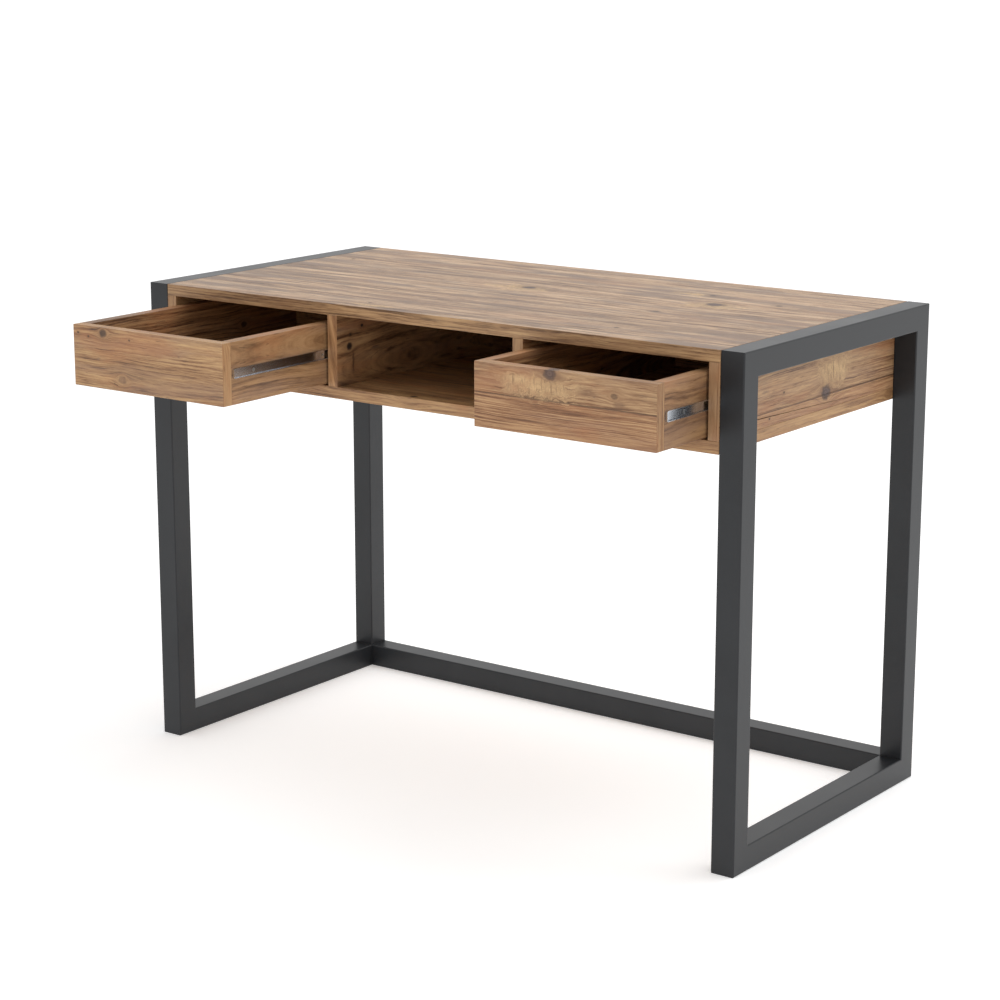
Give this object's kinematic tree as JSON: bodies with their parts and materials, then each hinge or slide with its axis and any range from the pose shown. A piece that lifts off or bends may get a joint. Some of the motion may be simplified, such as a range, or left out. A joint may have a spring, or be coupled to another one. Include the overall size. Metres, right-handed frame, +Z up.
{
  "type": "writing desk with drawers",
  "caption": "Writing desk: a shallow pine body with an open middle compartment and slim handle-less drawers, hung between rectangular frames of square steel tube with a rear floor stretcher.",
  "frame": {"origin": "on the floor, at the middle of the box round the desk with its drawers open as at rest; the closed desk alone is centred 114.5 mm behind it", "axes": "+X to the right across the desk seen from the front, +Y from the front to the back, +Z up"},
  "size_m": [1.1, 0.765, 0.75],
  "materials": {
    "charcoal_steel": "satin charcoal powder coat",
    "body_pine": "brushed, stained and waxed knotty pine",
    "drawer_pine": "brushed, stained and waxed knotty pine",
    "plywood": "plain pine plywood",
    "beech": "turned beech",
    "slide_steel": "bright zinc plated",
    "ball_steel": "polished",
    "zinc": "zinc plated"
  },
  "bodies": {
    "desk": {"left_front_post": "charcoal_steel", "left_rear_post": "charcoal_steel", "left_top_rail": "charcoal_steel", "left_bottom_rail": "charcoal_steel", "right_front_post": "charcoal_steel", "right_rear_post": "charcoal_steel", "right_top_rail": "charcoal_steel", "right_bottom_rail": "charcoal_steel", "rear_stretcher": "charcoal_steel", "left_stretcher_plug": "charcoal_steel", "right_stretcher_plug": "charcoal_steel", "stretcher_screws": "charcoal_steel", "frame_bolts": "zinc", "frame_rivet_nuts": "zinc", "top_board": "body_pine", "bottom_board": "body_pine", "left_side_panel": "body_pine", "right_side_panel": "body_pine", "left_divider": "body_pine", "right_divider": "body_pine", "back_panel": "body_pine", "body_dowels": "beech", "cam_locks": "zinc", "cam_bolts": "zinc", "cabinet_rail_screws": "zinc", "left_drawer_outer_cabinet_rail": "slide_steel", "left_drawer_inner_cabinet_rail": "slide_steel", "right_drawer_outer_cabinet_rail": "slide_steel", "right_drawer_inner_cabinet_rail": "slide_steel"},
    "left_drawer": {"left_drawer_front": "drawer_pine", "left_drawer_left_side": "drawer_pine", "left_drawer_right_side": "drawer_pine", "left_drawer_back": "drawer_pine", "left_drawer_bottom": "plywood", "left_drawer_dowels": "beech", "left_drawer_outer_channel": "slide_steel", "left_drawer_inner_channel": "slide_steel", "left_channel_screws": "zinc"},
    "left_drawer_ball_cages": {"left_drawer_outer_ball_cage": "zinc", "left_drawer_outer_balls": "ball_steel", "left_drawer_inner_ball_cage": "zinc", "left_drawer_inner_balls": "ball_steel"},
    "right_drawer": {"right_drawer_front": "drawer_pine", "right_drawer_left_side": "drawer_pine", "right_drawer_right_side": "drawer_pine", "right_drawer_back": "drawer_pine", "right_drawer_bottom": "plywood", "right_drawer_dowels": "beech", "right_drawer_outer_channel": "slide_steel", "right_drawer_inner_channel": "slide_steel", "right_channel_screws": "zinc"},
    "right_drawer_ball_cages": {"right_drawer_outer_ball_cage": "zinc", "right_drawer_outer_balls": "ball_steel", "right_drawer_inner_ball_cage": "zinc", "right_drawer_inner_balls": "ball_steel"}
  },
  "joints": [
    {"name": "left_drawer_slide", "type": "slide", "parent": "desk", "child": "left_drawer", "axis": [0, -1, 0], "range_m": [-0.229, 0.071]},
    {"name": "left_cage_roll", "type": "slide", "parent": "desk", "child": "left_drawer_ball_cages", "axis": [0, -1, 0], "range_m": [-0.1145, 0.0355]},
    {"name": "right_drawer_slide", "type": "slide", "parent": "desk", "child": "right_drawer", "axis": [0, -1, 0], "range_m": [-0.121, 0.179]},
    {"name": "right_cage_roll", "type": "slide", "parent": "desk", "child": "right_drawer_ball_cages", "axis": [0, -1, 0], "range_m": [-0.0605, 0.0895]}
  ],
  "couplings": [
    {"joint": "left_cage_roll", "follows": "left_drawer_slide", "ratio": 0.5},
    {"joint": "right_cage_roll", "follows": "right_drawer_slide", "ratio": 0.5}
  ]
}
